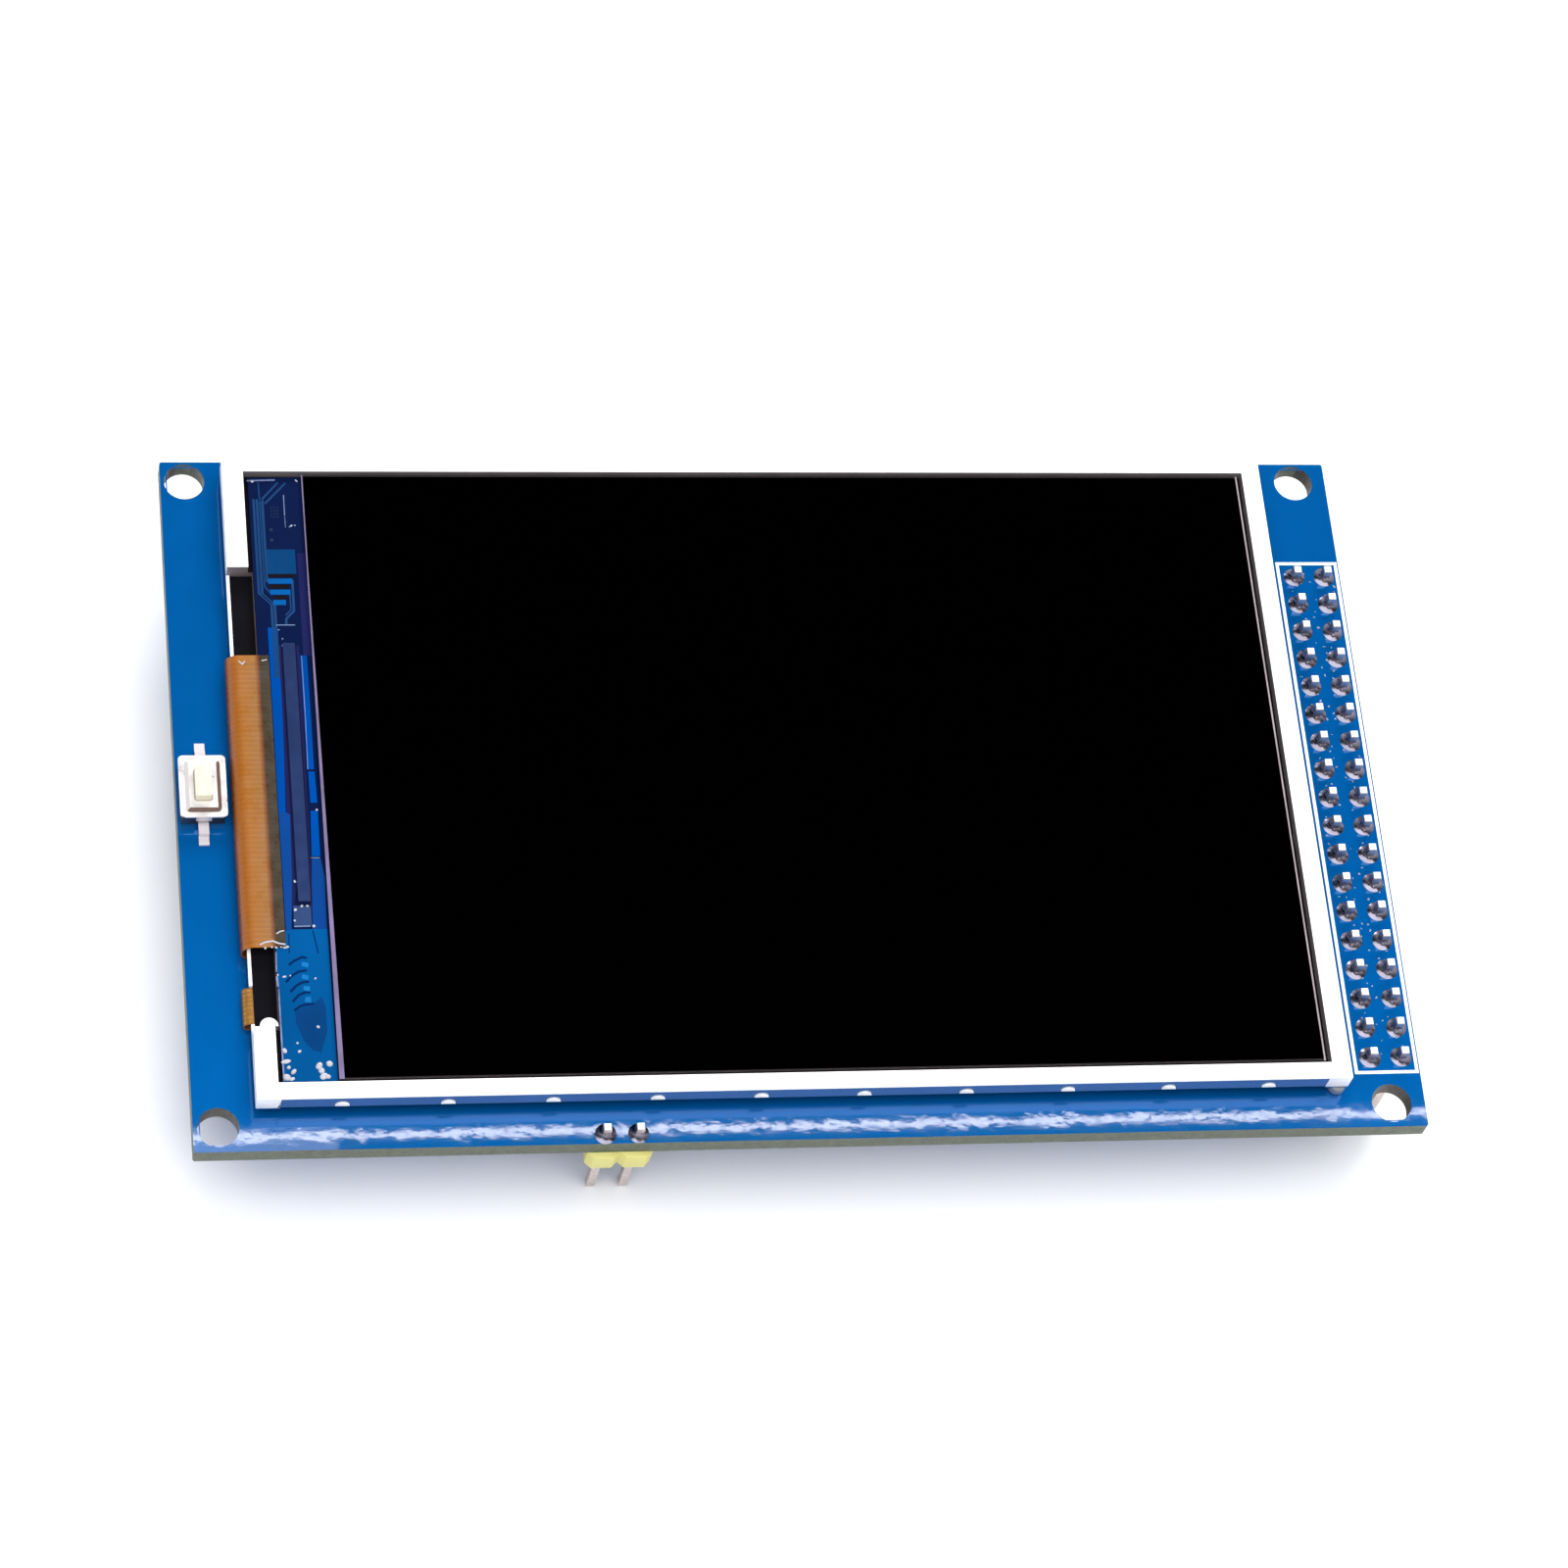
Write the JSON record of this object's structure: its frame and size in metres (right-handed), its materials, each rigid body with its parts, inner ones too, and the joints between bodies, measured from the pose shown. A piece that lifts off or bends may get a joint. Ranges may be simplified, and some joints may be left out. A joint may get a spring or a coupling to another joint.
{
  "type": "tft display module",
  "caption": "Colour display module: blue circuit board with a framed liquid-crystal panel on top, pin headers pointing down, a reset switch and a card socket underneath.",
  "frame": {"origin": "centre of the four mounting holes, on the underside of the circuit board", "axes": "+X along the board towards the double-row header, +Y away from the front header, +Z out of the screen"},
  "size_m": [0.096, 0.0603, 0.0123],
  "materials": {
    "board_mask": "gloss",
    "header_plastic": "satin",
    "pin_metal": "plated",
    "solder": "bright",
    "foam": "matt",
    "tray_steel": "polished",
    "frame_plastic": "satin",
    "film": "satin",
    "guide_acrylic": "gloss",
    "lamp": "satin",
    "polyimide": "gloss",
    "black_tape": "matt",
    "rear_glass": "gloss",
    "front_glass": "gloss",
    "polariser": "satin",
    "silicon": "polished",
    "clear_glue": "gloss",
    "black_plastic": "matt",
    "switch_steel": "satin",
    "ivory_plastic": "satin",
    "lead_metal": "tinned",
    "shell_steel": "satin",
    "contact_metal": "gold plated",
    "capacitor_ceramic": "matt",
    "resistor_ceramic": "gloss"
  },
  "bodies": {
    "module": {"circuit_board": "board_mask", "header_block": "header_plastic", "header_pins": "pin_metal", "link_header_block": "header_plastic", "link_header_pins": "pin_metal", "solder_joints": "solder", "foam_tape": "foam", "steel_tray": "tray_steel", "lcd_frame": "frame_plastic", "reflector_film": "film", "light_guide": "guide_acrylic", "diffuser_film": "film", "prism_film": "film", "lamp_flex": "polyimide", "lamps": "lamp", "notch_tape": "black_tape", "rim_tape": "black_tape", "rear_polariser": "polariser", "rear_glass": "rear_glass", "front_glass": "front_glass", "front_polariser": "polariser", "driver_chip": "silicon", "panel_flex": "polyimide", "flex_solder": "solder", "corner_glue": "clear_glue", "switch_base": "black_plastic", "switch_cover": "switch_steel", "switch_dome": "lead_metal", "switch_terminals": "lead_metal", "card_socket_body": "black_plastic", "card_socket_shell": "shell_steel", "card_contacts": "contact_metal", "regulator_body": "black_plastic", "regulator_leads": "lead_metal", "buffer_bodies": "black_plastic", "buffer_leads": "lead_metal", "capacitors": "capacitor_ceramic", "resistors": "resistor_ceramic"},
    "plunger": {"switch_plunger": "ivory_plastic"}
  },
  "joints": [
    {"name": "reset_press", "type": "slide", "parent": "module", "child": "plunger", "axis": [0, 0, -1], "range_m": [0, 0.00025], "stiffness_N_per_m": 6000, "deforming": ["switch_dome"]}
  ]
}
